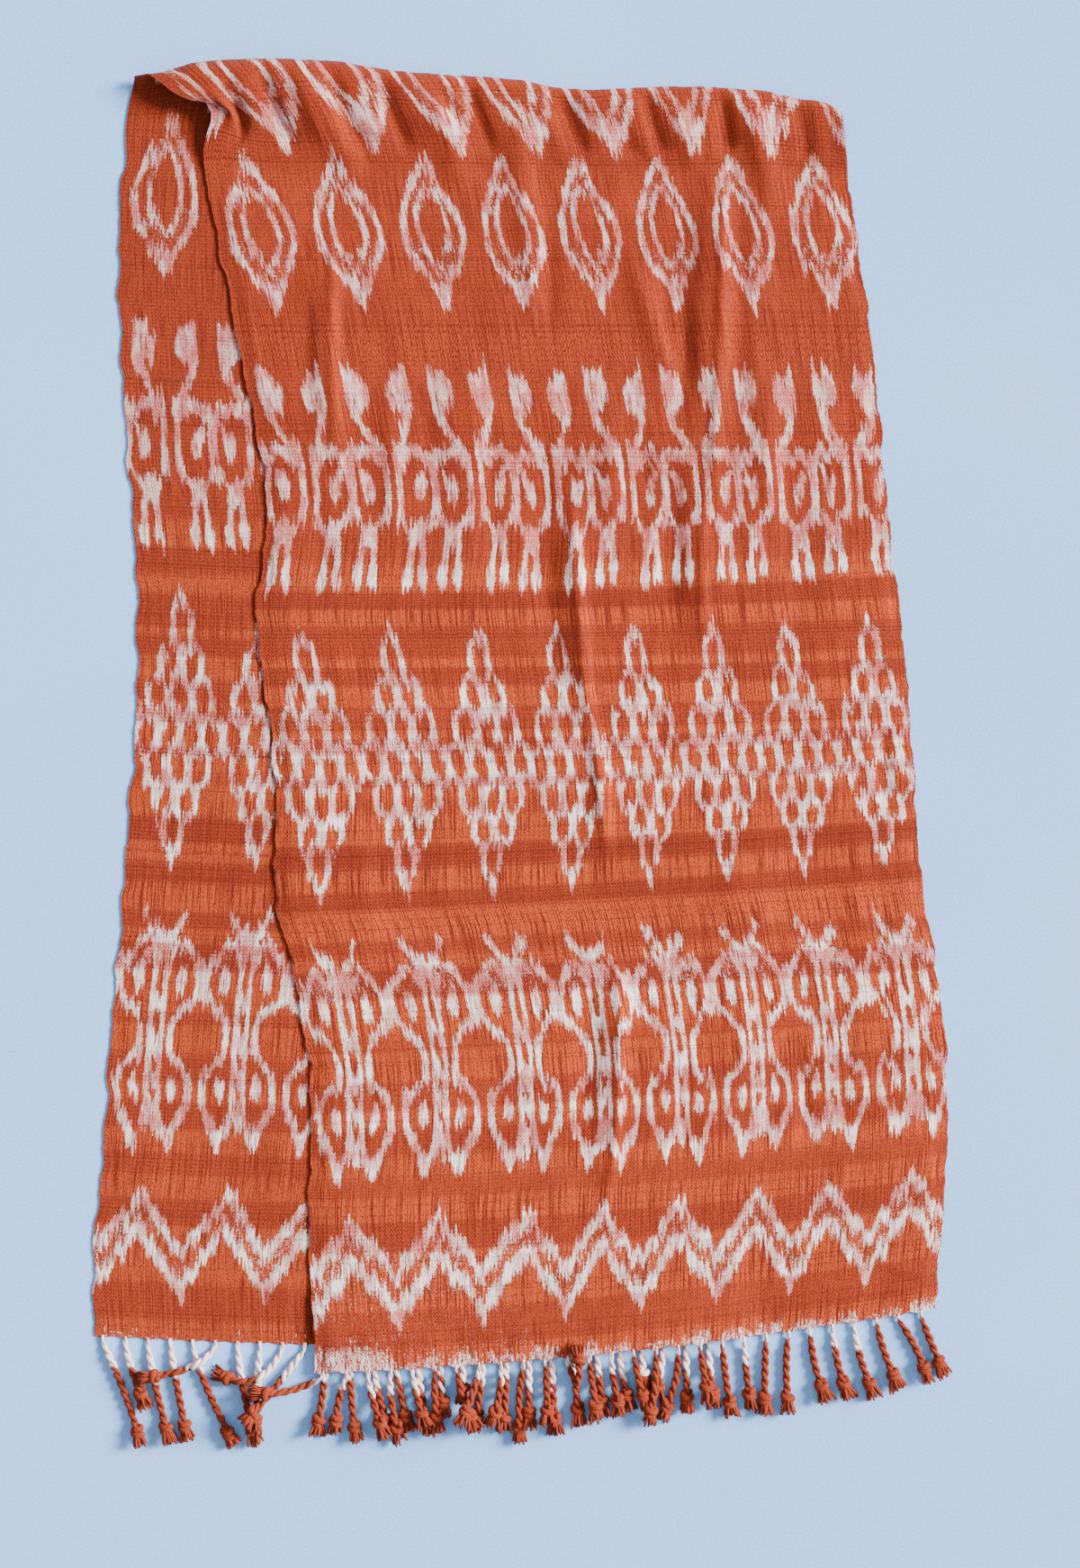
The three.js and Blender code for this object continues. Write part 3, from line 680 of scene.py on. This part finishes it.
def add_cloth(name, outer, inner, material):
    """A closed wall of cloth. outer and inner are the s and length values of its two faces."""
    points, weave, dye, faces, loops = [], [], [], [], []
    start = 0
    for (across, lengths), inside in ((outer, 0), (inner, WALL)):
        s, length = (grid.ravel() for grid in np.meshgrid(across, lengths))
        points.append(cloth_point(s, length, inside) + offset)
        weave.append(np.stack([s * WIDTH, length, band_strength(length)], -1))
        dye.append(np.stack([undyed(s * WIDTH, length + slip) for slip in (-SLIP, 0, SLIP)], -1))
        faces += grid_faces(len(across), len(lengths), start, inside > 0)
        loops.append(edge_loop(across, lengths, start))
        start += len(s)
    faces += join_loops(*loops)
    attributes = {"weave": np.concatenate(weave), "dye": np.concatenate(dye)}
    cloth = add_object(name, np.concatenate(points), faces, material, attributes)
    cloth.data.set_sharp_from_angle(angle=math.radians(SHARP_ANGLE))
    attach(cloth, "root")
    return cloth


# -------------------- materials


class Nodes:
    """A material's node tree, with short calls for the nodes that it needs."""

    def __init__(self, name):
        self.material = bpy.data.materials.new(name)
        self.material.use_nodes = True
        self.tree = self.material.node_tree
        self.shader = self.tree.nodes["Principled BSDF"]

    def node(self, kind, inputs=(), **settings):
        node = self.tree.nodes.new(kind)
        for key, value in settings.items():
            setattr(node, key, value)
        self.fill(node, inputs)
        return node

    def fill(self, node, inputs):
        """Links or sets a node's inputs."""
        for key, value in dict(inputs).items():
            if isinstance(value, bpy.types.NodeSocket):
                self.tree.links.new(value, node.inputs[key])
            else:
                node.inputs[key].default_value = value

    def math(self, operation, *values):
        inputs = dict(enumerate(values))
        return self.node("ShaderNodeMath", inputs, operation=operation).outputs[0]

    def add(self, *values):
        total = values[0]
        for value in values[1:]:
            total = self.math("ADD", total, value)
        return total

    def times(self, first, second):
        return self.math("MULTIPLY", first, second)

    def minus(self, first, second):
        return self.math("SUBTRACT", first, second)

    def values(self, attribute):
        """The three values of an attribute."""
        node = self.node("ShaderNodeAttribute", attribute_name=attribute)
        return self.node("ShaderNodeSeparateXYZ", {0: node.outputs["Vector"]}).outputs

    def join(self, x, y):
        return self.node("ShaderNodeCombineXYZ", {0: x, 1: y}).outputs[0]

    def noise(self, vector, stretch, detail=2.0, rough=0.5):
        """Noise between 0 and 1, whose vector is stretched by so much each way."""
        scaled = self.node("ShaderNodeVectorMath", {0: vector, 1: stretch}, operation="MULTIPLY")
        inputs = {"Vector": scaled.outputs[0], "Scale": 1.0, "Detail": detail, "Roughness": rough}
        return self.node("ShaderNodeTexNoise", inputs).outputs["Fac"]

    def per_yarn(self, across, width):
        """A random value between 0 and 1 for each yarn."""
        yarn = self.math("FLOOR", self.times(across, 1 / width))
        noise = self.node("ShaderNodeTexWhiteNoise", {"W": yarn}, noise_dimensions="1D")
        return noise.outputs["Value"]

    def ramp(self, value, low, high, start=0.0, end=1.0):
        inputs = {"Value": value, 1: low, 2: high, 3: start, 4: end}
        return self.node("ShaderNodeMapRange", inputs, interpolation_type="SMOOTHSTEP").outputs[0]

    def mix(self, share, first, second):
        inputs = {"Factor": share, 6: first, 7: second}
        return self.node("ShaderNodeMix", inputs, data_type="RGBA").outputs[2]

    def finish(self, colour, height, distance, roughness):
        """Sets the shader's colour and bump, and the soft shine of cotton."""
        inputs = {"Height": height, "Distance": distance / METRE}
        bump = self.node("ShaderNodeBump", inputs).outputs["Normal"]
        inputs = {"Base Color": colour, "Normal": bump, "Roughness": roughness}
        self.fill(self.shader, inputs)
        self.fill(self.shader, {"Specular IOR Level": SHINE, "Sheen Weight": SHEEN})
        return self.material


def colour(red, green, blue):
    """An sRGB colour of 0 to 255, as the shader's linear values."""
    def linear(value):
        value /= 255
        return value / 12.92 if value <= 0.04045 else ((value + 0.055) / 1.055) ** 2.4

    return (linear(red), linear(green), linear(blue), 1)


ORANGE = colour(138, 42, 20)
LIGHT_ORANGE = colour(188, 73, 34)
DEEP_ORANGE = colour(66, 15, 6)
WHITE = colour(255, 243, 240)
PINK = colour(202, 136, 140)
# Painted shade: both fringe yarn colours are set darker, for the shade in the crevices between the
# plies.
YARN_ORANGE = colour(158, 62, 34)
SHADED_YARN = colour(102, 32, 16)
DARK_FLOOR = colour(118, 168, 232)
FLOOR = colour(138, 184, 244)
PALE_FLOOR = colour(150, 194, 248)
UNDER_PAINTED_SHADE = 0.16  # painted shade: how much darker the under half is coloured, for the dimmer light at the left, where it shows
SHINE = 0.12
SHEEN = 0.04


def undyed_yarn(n, flat, across, specks):
    """Where the yarn is white: each yarn's own slip picks between the pattern's fields."""
    backwards, middle, forwards = n.values("dye")
    drift = n.ramp(n.noise(flat, (0.9, 0.03, 1), 3.0, 0.7), 0.32, 0.68, -1.0, 1.0)
    own = n.minus(n.times(n.per_yarn(across, 1.5), 2.0), 1.0)
    slip = n.add(n.times(drift, 0.6), n.times(own, 0.6))
    ahead = n.math("MAXIMUM", slip, 0.0)
    behind = n.math("MAXIMUM", n.times(slip, -1.0), 0.0)
    outside = n.add(
        middle,
        n.times(ahead, n.minus(forwards, middle)),
        n.times(behind, n.minus(backwards, middle)),
    )
    grain = n.noise(flat, (0.8, 0.13, 1), 2.0, 0.6)
    outside = n.add(
        outside,
        n.times(n.minus(grain, 0.5), 3.0),
        n.times(n.minus(specks, 0.5), 2.5),
    )
    dyed_yarns = n.ramp(n.noise(flat, (0.7, 0.045, 1), 2.0, 0.6), 0.43, 0.34)
    return n.times(n.ramp(outside, 0.4, -0.4), n.minus(1.0, dyed_yarns))


def orange_weave(n, ribs, specks, streaks, between, basket):
    """Orange warp over orange weft, lighter where the warp floats between the ribs. Painted shade
    darkens it between the yarns and in the hollows of the ribs.
    """
    floats = n.minus(1.0, ribs)
    orange = n.mix(n.times(n.ramp(streaks, 0.38, 0.6), n.add(0.3, floats)), ORANGE, LIGHT_ORANGE)
    orange = n.mix(n.ramp(specks, 0.5, 0.64, 0.0, 0.75), orange, DEEP_ORANGE)
    # Painted shade between the yarns, in deep orange.
    orange = n.mix(n.times(between, n.add(0.15, n.times(floats, 0.5))), orange, DEEP_ORANGE)
    # Painted shade in the hollows of the ribbed weave, where the basket bump sinks.
    return n.mix(n.times(ribs, n.ramp(basket, 0.6, -0.6, 0.0, 0.35)), orange, DEEP_ORANGE)


def pale_weave(n, flat, ribs, specks, between, basket):
    """White warp over orange weft, pinker where the weft shows more."""
    fill = n.noise(flat, (0.1, 0.04, 1), 2.0, 0.6)
    pinkness = n.add(n.times(ribs, 0.6), n.ramp(fill, 0.4, 0.6, 0.0, 0.6))
    pale = n.mix(pinkness, WHITE, PINK)
    weft = n.add(n.ramp(specks, 0.48, 0.6), n.times(n.ramp(basket, 0.2, -0.8), ribs))
    pale = n.mix(n.times(weft, n.add(0.14, n.times(pinkness, 0.6))), pale, LIGHT_ORANGE)
    # Painted shade between the white yarns, in the weft's orange.
    return n.mix(n.times(between, 0.6), pale, ORANGE)


def cloth_material():
    """Warp ikat: each yarn is dyed before it is woven, so the figures' ends are feathered."""
    n = Nodes("ikat_cloth")
    across, length, ribs = n.values("weave")
    flat = n.join(across, length)
    specks = n.noise(flat, (0.75, 0.75, 1), 2.0, 0.8)
    streaks = n.noise(flat, (1.1, 0.02, 1), 3.0, 0.7)
    clouds = n.noise(flat, (0.02, 0.012, 1), 2.0, 0.5)
    # Painted shade: darker lines between the yarns, where the streaks lower the bump.
    between = n.ramp(streaks, 0.5, 0.38)
    yarn_wave = n.math("SINE", n.times(across, 2 * math.pi / YARN_PITCH))
    rib_wave = n.math("SINE", n.times(length, 2 * math.pi / RIB_PITCH))
    basket = n.times(yarn_wave, rib_wave)
    cloth = n.mix(
        undyed_yarn(n, flat, across, specks),
        orange_weave(n, ribs, specks, streaks, between, basket),
        pale_weave(n, flat, ribs, specks, between, basket),
    )
    pick = n.times(n.ramp(n.per_yarn(length, 1.2), 0.86, 0.93), n.ramp(specks, 0.35, 0.5))
    cloth = n.mix(n.times(pick, 0.28), cloth, DEEP_ORANGE)
    cloth = n.mix(n.ramp(clouds, 0.3, 0.7, 0.0, 0.16), cloth, DEEP_ORANGE)
    # Painted shade: the under half is mixed towards deep orange, fading out on its way into the
    # fold, for the dimmer light at the left.
    painted_under_shade = n.ramp(length, FLAT_LENGTH, HALF_LENGTH, UNDER_PAINTED_SHADE, 0.0)
    cloth = n.mix(painted_under_shade, cloth, DEEP_ORANGE)

    height = n.add(
        n.times(rib_wave, n.times(ribs, 0.35)),
        n.times(basket, 0.25),
        n.times(streaks, 2.0),
        n.times(specks, 1.4),
    )
    return n.finish(cloth, height, 0.6, 0.8)


def fringe_material():
    """Two-ply yarn. Its attribute holds the place round and along the yarn, and its whiteness."""
    n = Nodes("fringe_yarn")
    around, along_yarn, white = n.values("weave")
    flat = n.join(around, along_yarn)
    fibres = n.noise(flat, (1.5, 0.35, 1), 3.0, 0.7)
    specks = n.noise(flat, (1.2, 1.2, 1), 2.0, 0.7)
    # Painted shade: noise spreads the yarn's darkened colours and deep-orange specks, for the shade
    # between its plies.
    orange = n.mix(n.ramp(fibres, 0.3, 0.7), SHADED_YARN, YARN_ORANGE)
    orange = n.mix(n.ramp(specks, 0.45, 0.7, 0.0, 0.7), orange, DEEP_ORANGE)
    pale = n.mix(n.ramp(specks, 0.4, 0.7, 0.25, 0.8), WHITE, PINK)
    edge = n.add(white, n.times(n.minus(fibres, 0.5), 0.8))
    height = n.add(fibres, n.times(specks, 0.6))
    return n.finish(n.mix(n.ramp(edge, 0.35, 0.65), orange, pale), height, 0.4, 0.88)


def floor_material():
    """A plain, pale blue floor, a little uneven in tone. Its noise is measured in metres."""
    n = Nodes("pale_floor")
    place = n.node("ShaderNodeNewGeometry").outputs["Position"]
    fine = n.noise(place, (600, 600, 600), 2.0, 0.7)
    broad = n.noise(place, (3, 3, 3), 2.0, 0.5)
    shade = n.mix(n.ramp(fine, 0.35, 0.65), DARK_FLOOR, FLOOR)
    shade = n.mix(n.ramp(broad, 0.3, 0.7, 0.0, 0.3), shade, PALE_FLOOR)
    n.fill(n.shader, {"Base Color": shade, "Roughness": 0.7})
    return n.material


# -------------------- the cloth

CAD_LENGTHS = np.linspace(0, FLAT_LENGTH, 21)  # the rows of the CAD's under half
under_low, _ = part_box("under_half")
offset = np.array([
    under_low[0] * METRE - along(UNDER_EDGE, "from_hem", "x", CAD_LENGTHS).min(),
    under_low[1] * METRE - (UNDER_HEM_Y - UNDER_BOW),
    0,
])

cloth = cloth_material()

# The grids. Rows lie closer at the hems, and the under half's columns where it shows.
UNDER_SHOWING = 0.42  # share of its width
HEM_STRETCH = 8
FINE_COLUMNS, COARSE_COLUMNS, OVER_COLUMNS = 112, 30, 257
UNDER_ROWS, ROLL_ROWS, OVER_ROWS, HEM_ROWS = 262, 62, 246, 6

fine_columns = np.linspace(0, UNDER_SHOWING, FINE_COLUMNS)
coarse_columns = np.linspace(UNDER_SHOWING, 1, COARSE_COLUMNS)[1:]
under_columns = np.concatenate([fine_columns, coarse_columns])
under_hem = np.linspace(0, HEM_STRETCH, HEM_ROWS)[:-1]
under_lengths = np.concatenate([under_hem, np.linspace(HEM_STRETCH, FLAT_LENGTH, UNDER_ROWS)])
under_cloth = add_cloth(
    "under_cloth",
    (under_columns[::3], under_lengths[::2]),
    (under_columns, under_lengths),
    cloth,
)
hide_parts("under_half")

over_columns = np.linspace(0, 1, OVER_COLUMNS)
roll_end, flat_end = WHOLE_LENGTH - FLAT_LENGTH, WHOLE_LENGTH - HEM_STRETCH
roll_lengths = np.linspace(FLAT_LENGTH, roll_end, ROLL_ROWS)
flat_lengths = np.linspace(roll_end, flat_end, OVER_ROWS)[1:]
hem_lengths = np.linspace(flat_end, WHOLE_LENGTH, HEM_ROWS)[1:]
over_cloth = add_cloth(
    "over_cloth",
    (over_columns, np.concatenate([roll_lengths, flat_lengths, hem_lengths])),
    (over_columns[::4], np.concatenate([roll_lengths, flat_lengths[1::2], hem_lengths])),
    cloth,
)
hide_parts("over_half", "fold_roll")

# -------------------- the fringes

STRAND_RADIUS = 2.8
ROOT_RADIUS = 1.6
ROOT_LENGTH = 12  # over which a strand thickens
ROOT_OUT = 1.8  # from the hem to where a strand's own line starts
ROOT_IN = 1.5  # from the hem to its hidden end, inside the cloth
SAMPLES = 44
PLY_TURN = 15  # the length of strand in which a ply goes once round
PLY_SAMPLES = 64
PLY_SIDES = 7
KNOT_FROM_END = 12
KNOT_RADIUS = 4.6
KNOT_REACH = 6
KNOT_SAMPLES = 30
TUFT_FIBRES = 22
ABOVE_FLOOR = 0.2
PRESSED = 0.9  # the share of its full height at which a strand crosses another
DESCENT = 0.5  # how steeply it comes down from there
WHITE_FADE = 12
ANY_TURN = 6.28  # radians

# How each strand lies, from its root: the point that its bend is drawn towards, then its end.
UNDER_STRANDS = [
    (16, -32, 29, -75), (4, -22, 16, -47), (6, -36, 17, -71), (5, -30, 13, -69),
    (8, -30, 31, -72), (-12, -20, -55, -21), (3, -30, 14, -70), (-2, -28, -3, -62),
    (-16, -36, -50, -16), (-22, -30, -44, -51), (-2, -30, -8, -62), (0, -30, 5, -66),
    (3, -30, 13, -60), (3, -30, 11, -58), (2, -30, 9, -62), (1, -24, 4, -48),
    (1, -20, 2, -38), (-2, -30, -7, -58), (0, -30, -2, -60), (0, -28, 0, -57),
    (1, -30, 3, -62), (1, -28, 4, -56), (2, -25, 6, -50), (3, -23, 8, -46),
    (1, -16, 3, -32), (-2, -20, -6, -42), (0, -25, 1, -50), (1, -24, 5, -47),
]
OVER_STRANDS = [
    (-22, -14, -52, -9), (-8, -18, -8, -42), (2, -20, 13, -43), (-2, -22, 8, -49),
    (3, -20, 10, -39), (-1, -20, 3, -44), (4, -20, 14, -42), (-2, -14, -14, -40),
    (1, -20, -8, -42), (-5, -28, -2, -55), (2, -20, 1, -44), (12, -36, 7, 14),
    (2, -20, 6, -44), (1, -20, 7, -42), (3, -18, 10, -39), (1, -24, -6, -52),
    (2, -22, -12, -50), (3, -18, 6, -39), (3, -26, 7, -52), (2, -24, 5, -48),
    (-1, -27, -1, -54), (-3, -28, 1, -56), (2, -28, 13, -49), (3, -26, 12, -49),
    (3, -27, 16, -51), (6, -26, 17, -47), (14, -18, 22, -45), (9, -22, 17, -43),
]


def unit(vectors):
    return vectors / np.linalg.norm(vectors, axis=-1, keepdims=True)


def frame_along(centres, upwards=(0, 0, 1)):
    """The heading of a path at each point, and two directions square to it."""
    heading = unit(np.gradient(centres, axis=0))
    side = unit(np.cross(heading, upwards))
    return heading, side, np.cross(side, heading)


def tube(centres, radii, sides):
    """A closed tube's points and faces, one ring round each centre."""
    _, side, up = frame_along(centres, (0.12, 0.05, 1))
    angles = (np.arange(sides) * 2 * math.pi / sides)[:, None]
    rings = side[:, None] * np.cos(angles) + up[:, None] * np.sin(angles)
    points = centres[:, None] + rings * np.asarray(radii, float)[:, None, None]
    index = np.arange(len(centres) * sides).reshape(-1, sides)
    after = np.roll(index, -1, axis=1)
    quads = np.stack([index[:-1], after[:-1], after[1:], index[1:]], -1).reshape(-1, 4).tolist()
    return points.reshape(-1, 3), quads + [index[0, ::-1].tolist(), index[-1].tolist()]


class Yarns:
    """Tubes gathered into one mesh."""

    def __init__(self):
        self.points, self.faces, self.weave = [], [], []

    def add(self, centres, radii, sides, start, white_length):
        """start is the length of yarn before the tube; it is white for white_length."""
        points, faces = tube(centres, radii, sides)
        before = start + travelled(centres)
        white = 1 - smoothstep(before, white_length, white_length + WHITE_FADE)
        around = np.tile(np.arange(sides) * 1.7, len(centres))
        lengths = np.repeat(before, sides) + 100 * len(self.points)
        self.weave.append(np.stack([around, lengths, np.repeat(white, sides)], -1))
        base = sum(len(p) for p in self.points)
        self.faces += [[base + i for i in face] for face in faces]
        self.points.append(points)


def lay_strand(root, row, hem_height, laid):
    """The centre line of a strand: it lies on the floor, and over what is already there."""
    plan = root[:2]
    line, length = bend_curve(plan, plan + row[:2], plan + row[2:], SAMPLES)
    so_far = np.linspace(0, length, SAMPLES)
    radius = lerp(ROOT_RADIUS, STRAND_RADIUS, smoothstep(so_far, 0, ROOT_LENGTH))
    knot = bell((length - so_far - KNOT_FROM_END) / KNOT_REACH)
    girth = radius + (KNOT_RADIUS - STRAND_RADIUS) * knot
    least = girth + ABOVE_FLOOR
    if laid:
        below = np.vstack(laid)
        apart = np.hypot(line[:, 0, None] - below[:, 0], line[:, 1, None] - below[:, 1])
        reach = girth[:, None] + below[:, 3]
        over = below[:, 2] + PRESSED * np.sqrt(np.maximum(reach**2 - apart**2, 0))
        least = np.maximum(least, np.where(apart < reach, over, 0).max(axis=1))
    back_over_hem = (line[:, 1] > plan[1] - 8) & (so_far > length / 2)
    least = np.maximum(least, np.where(back_over_hem, hem_height + girth + GAP, 0))
    least[0] = root[2]
    z = (least - DESCENT * np.abs(so_far[:, None] - so_far)).max(axis=1)
    z[2:-2] = np.maximum(np.convolve(z, np.array([1, 2, 3, 2, 1]) / 9, "valid"), least[2:-2] - 0.4)
    laid.append(np.column_stack([line, z, girth])[2:])
    return np.column_stack([line, z]), so_far, radius


def add_plies(yarns, points, so_far, radius, random, white_lengths):
    """Two plies twisted round each other."""
    fine = np.linspace(so_far[0], so_far[-1], PLY_SAMPLES)
    centres = np.stack([np.interp(fine, so_far, axis) for axis in points.T], -1)
    thick = np.interp(fine, so_far, radius)[:, None]
    _, side, up = frame_along(centres)
    turn = (2 * math.pi * fine / PLY_TURN + random.uniform(0, ANY_TURN))[:, None]
    for half_turn, white_length in zip((0, math.pi), white_lengths):
        out = side * np.cos(turn + half_turn) + up * np.sin(turn + half_turn)
        girth = 0.57 * thick[:, 0]
        yarns.add(centres + out * 0.47 * thick, girth, PLY_SIDES, 0, white_length)


def add_knot(yarns, centre, heading, so_far, random, white_length):
    """Turns of the strand, drawn tight round itself."""
    side = unit(np.cross(heading, (0, 0, 1)))
    up = np.cross(side, heading)
    angles = np.linspace(0, 2 * math.pi * random.uniform(1.3, 1.7), KNOT_SAMPLES)
    angle = (angles + random.uniform(0, ANY_TURN))[:, None]
    slant = random.uniform(0.8, 1.6)
    path = centre + 3 * (side * np.cos(angle) + 0.8 * up * np.sin(angle))
    onwards = np.linspace(-2.8, 2.8, KNOT_SAMPLES)[:, None]
    path = path + heading * (onwards + slant * np.sin(angle))
    girth = 2.2 + 0.4 * np.sin(np.linspace(0, math.pi, KNOT_SAMPLES))
    path[:, 2] = np.maximum(path[:, 2], girth + ABOVE_FLOOR)
    yarns.add(path, girth, PLY_SIDES, so_far, white_length)


def add_tuft(yarns, start, heading, reach, so_far, random, white_length):
    """The loose ends of the plies."""
    side = np.cross(heading, (0, 0, 1))
    up = np.cross(side, heading)
    t = np.linspace(0, 1, 5)[:, None]
    radii = np.linspace(1.25, 0.75, 5)
    for _ in range(TUFT_FIBRES):
        turn, spread = random.uniform(0, 2 * math.pi), random.uniform(0.1, 0.65)
        out = side * math.cos(turn) + up * math.sin(turn)
        long = reach * random.uniform(0.7, 1.05)
        path = start + out * 1.5 + heading * long * t + out * long * spread * t * (1.3 - 0.5 * t)
        path[:, 2] = np.maximum(path[:, 2], radii + ABOVE_FLOOR)
        yarns.add(path, radii, 4, so_far, white_length)


def white_lengths(random, i, is_over):
    """How far from its root each ply of a strand is white. It is less in the over fringe."""
    pale = not is_over or i < 3 or random.random() < 0.35
    whites = random.uniform(18, 34, 2) if pale else random.uniform(-8, 4, 2)
    return whites * random.uniform(0.25, 0.6, 2) if is_over else whites


def add_fringe(name, hem_length, outwards, rows, seed, laid, material):
    """A strand for each row. outwards is the way past the hem: 1, or -1 for the under fringe."""
    random = np.random.default_rng(seed)
    yarns = Yarns()
    for i, row in enumerate(rows):
        s = np.array([(i + ROOT_PLACE) / STRANDS])
        root = cloth_point(s, np.array([hem_length + outwards * ROOT_OUT]))[0]
        inside = cloth_point(s, np.array([hem_length - outwards * ROOT_IN]), WALL / 2)[0]
        inside[2] = max(inside[2], ROOT_RADIUS + ABOVE_FLOOR)
        hem_top = cloth_point(s, np.array([hem_length - outwards * 20]))[0, 2]
        root[2] = max(root[2] - WALL / 2 if outwards > 0 else 0, ROOT_RADIUS + ABOVE_FLOOR)
        points, so_far, radius = lay_strand(root, np.array(row, float), hem_top, laid)
        whites = white_lengths(random, i, outwards > 0)

        points = np.vstack([inside, points]) + offset
        so_far = np.concatenate([[0], so_far + 3])
        radius = np.concatenate([[ROOT_RADIUS * 0.8], radius])
        knot = int(np.searchsorted(so_far, so_far[-1] - KNOT_FROM_END))
        add_plies(yarns, points[:knot + 2], so_far[:knot + 2], radius[:knot + 2], random, whites)
        heading = unit(points[min(knot + 3, len(points) - 1)] - points[knot - 3])
        add_knot(yarns, points[knot], heading, so_far[knot], random, whites[0])
        reach = so_far[-1] - so_far[knot]
        add_tuft(yarns, points[knot] + heading, heading, reach, so_far[-1], random, whites[0])
    attributes = {"weave": np.concatenate(yarns.weave)}
    fringe = add_object(name, np.concatenate(yarns.points), yarns.faces, material, attributes)
    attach(fringe, "root")
    return fringe


yarn = fringe_material()
laid_strands = []
under_fringe = add_fringe("under_fringe_yarns", 0, -1, UNDER_STRANDS, 11, laid_strands, yarn)
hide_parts("under_fringe")
over_fringe = add_fringe(
    "over_fringe_yarns", WHOLE_LENGTH, 1, OVER_STRANDS, 12, laid_strands, yarn
)
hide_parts("over_fringe")

# -------------------- floor and light

FLOOR_REACH = 15 * METRE
SKY = (0.9, 0.95, 1.0, 1)
SKY_STRENGTH = 0.85
SUNLIGHT = (1.0, 0.96, 0.9)
SUN_STRENGTH = 14.5
SUN_WIDTH = 22  # degrees, so that the shadows are soft
SUN_TURN = (-14, 60, 0)  # degrees, so that it stands at the right


def add_floor():
    corners = np.array([(-1, -1, 0), (1, -1, 0), (1, 1, 0), (-1, 1, 0)], float) * FLOOR_REACH
    floor = add_object("floor", corners, [(0, 1, 2, 3)], floor_material(), {})


def add_light():
    world = bpy.data.worlds.new("studio")
    world.use_nodes = True
    background = world.node_tree.nodes["Background"]
    background.inputs["Color"].default_value = SKY
    background.inputs["Strength"].default_value = SKY_STRENGTH
    bpy.context.scene.world = world
    lamp = bpy.data.lights.new("window", "SUN")
    lamp.energy = SUN_STRENGTH
    lamp.angle = math.radians(SUN_WIDTH)
    lamp.color = SUNLIGHT
    sun = bpy.data.objects.new("window", lamp)
    sun.rotation_euler = [math.radians(angle) for angle in SUN_TURN]
    bpy.context.collection.objects.link(sun)


add_floor()
add_light()
